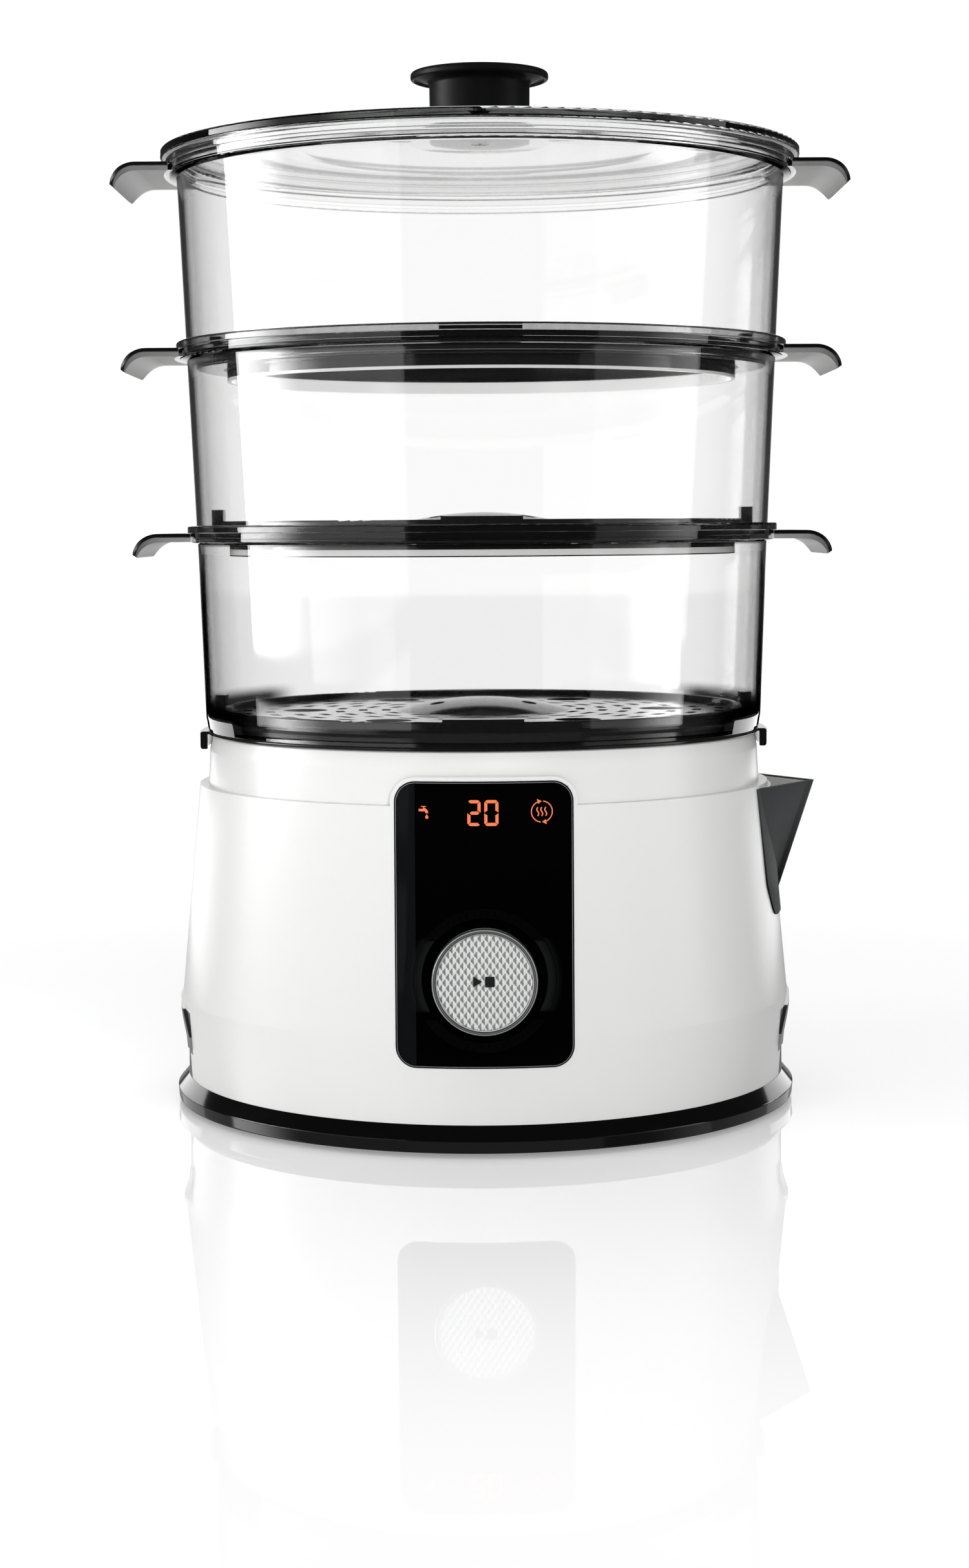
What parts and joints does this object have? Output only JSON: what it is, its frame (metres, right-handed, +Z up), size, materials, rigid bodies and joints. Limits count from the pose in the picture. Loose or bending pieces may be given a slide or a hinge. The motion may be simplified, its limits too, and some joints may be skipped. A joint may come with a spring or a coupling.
{
  "type": "electric food steamer",
  "caption": "Electric food steamer: round base with control dial and filling spout, stacked clear bowls with perforated floors, and a domed lid.",
  "frame": {"origin": "centre of the footprint on the table, under the vertical axis of the stack", "axes": "+Z up through the lid knob, control panel facing -Y, filling spout towards +X"},
  "size_m": [0.307, 0.27, 0.4377],
  "materials": {
    "housing_white": "satin",
    "tank_white": "satin",
    "base_black": "gloss",
    "plate_dark": "matte",
    "foot_rubber": "matte",
    "screw_steel": "satin",
    "grip_black": "matte",
    "gland_black": "matte",
    "heater_cast": "matte",
    "element_steel": "satin",
    "silicone_seal": "satin",
    "switch_brown": "matte",
    "fuse_white": "matte",
    "sensor_steel": "satin",
    "board_green": "satin",
    "relay_blue": "satin",
    "transformer_yellow": "satin",
    "capacitor_can": "satin",
    "terminal_grey": "matte",
    "wire_sleeve": "satin",
    "ribbon_grey": "satin",
    "bezel_silver": "satin",
    "window_black": "gloss",
    "rib_black": "satin",
    "carrier_black": "matte",
    "display_face": "gloss",
    "guide_clear": "satin",
    "encoder_metal": "satin",
    "shaft_metal": "satin",
    "dial_core_grey": "satin",
    "dial_silver": "satin",
    "dial_clear": "clear",
    "spout_grey": "satin",
    "liner_grey": "satin",
    "drip_black": "satin",
    "bowl_clear": "clear, smoky",
    "tray_black": "satin",
    "lid_clear": "clear, smoky",
    "knob_black": "satin"
  },
  "bodies": {
    "base": {"base_ring": "base_black", "base_plate": "plate_dark", "rubber_feet": "foot_rubber", "base_screws": "screw_steel", "outer_housing": "housing_white", "hand_grip_left": "grip_black", "hand_grip_right": "grip_black", "cord_gland": "gland_black", "water_tank": "tank_white", "heater_plate": "heater_cast", "heater_seal": "silicone_seal", "heater_screws": "screw_steel", "heating_element": "element_steel", "thermostat": "switch_brown", "thermal_fuse": "fuse_white", "temperature_sensor": "sensor_steel", "power_board": "board_green", "power_board_screws": "screw_steel", "relay": "relay_blue", "transformer": "transformer_yellow", "capacitor": "capacitor_can", "terminal_block": "terminal_grey", "heater_leads": "wire_sleeve", "ribbon_cable": "ribbon_grey", "panel_bezel": "bezel_silver", "panel_window": "window_black", "dial_rib_ring": "rib_black", "panel_carrier": "carrier_black", "control_board": "board_green", "control_board_screws": "screw_steel", "display_module": "display_face", "light_guide": "guide_clear", "encoder_body": "encoder_metal", "fill_spout": "spout_grey", "spout_liner": "liner_grey", "port_seal": "silicone_seal"},
    "dial_push": {"encoder_plunger": "carrier_black"},
    "dial": {"encoder_shaft": "shaft_metal", "dial_core": "dial_core_grey", "dial_disc": "dial_silver", "dial_rim": "dial_clear"},
    "drip_tray": {"drip_tray": "drip_black"},
    "bowl_bottom": {"bowl_bottom": "bowl_clear"},
    "bowl_middle": {"bowl_middle": "bowl_clear"},
    "bowl_top": {"bowl_top": "bowl_clear"},
    "tray_bottom": {"tray_bottom": "tray_black"},
    "tray_middle": {"tray_middle": "tray_black"},
    "tray_top": {"tray_top": "tray_black"},
    "lid": {"lid_shell": "lid_clear", "lid_knob": "knob_black", "lid_knob_screw": "screw_steel"}
  },
  "joints": [
    {"name": "drip_tray_lift", "type": "slide", "parent": "base", "child": "drip_tray", "axis": [0, 0, 1], "range_m": [0, 0.06]},
    {"name": "bowl_bottom_lift", "type": "slide", "parent": "drip_tray", "child": "bowl_bottom", "axis": [0, 0, 1], "range_m": [0, 0.04]},
    {"name": "tray_bottom_lift", "type": "slide", "parent": "bowl_bottom", "child": "tray_bottom", "axis": [0, 0, 1], "range_m": [0, 0.03]},
    {"name": "bowl_middle_lift", "type": "slide", "parent": "bowl_bottom", "child": "bowl_middle", "axis": [0, 0, 1], "range_m": [0, 0.05]},
    {"name": "tray_middle_lift", "type": "slide", "parent": "bowl_middle", "child": "tray_middle", "axis": [0, 0, 1], "range_m": [0, 0.04]},
    {"name": "bowl_top_lift", "type": "slide", "parent": "bowl_middle", "child": "bowl_top", "axis": [0, 0, 1], "range_m": [0, 0.05]},
    {"name": "tray_top_lift", "type": "slide", "parent": "bowl_top", "child": "tray_top", "axis": [0, 0, 1], "range_m": [0, 0.04]},
    {"name": "lid_lift", "type": "slide", "parent": "bowl_top", "child": "lid", "axis": [0, 0, 1], "range_m": [0, 0.06]},
    {"name": "dial_press", "type": "slide", "parent": "base", "child": "dial_push", "axis": [0, 0.9986, -0.0523], "range_m": [0, 0.0008], "stiffness_N_per_m": 800},
    {"name": "dial_turn", "type": "hinge", "parent": "dial_push", "child": "dial", "pos_m": [0, -0.12577, 0.0693], "axis": [0, -0.9986, 0.0523], "continuous": true}
  ]
}
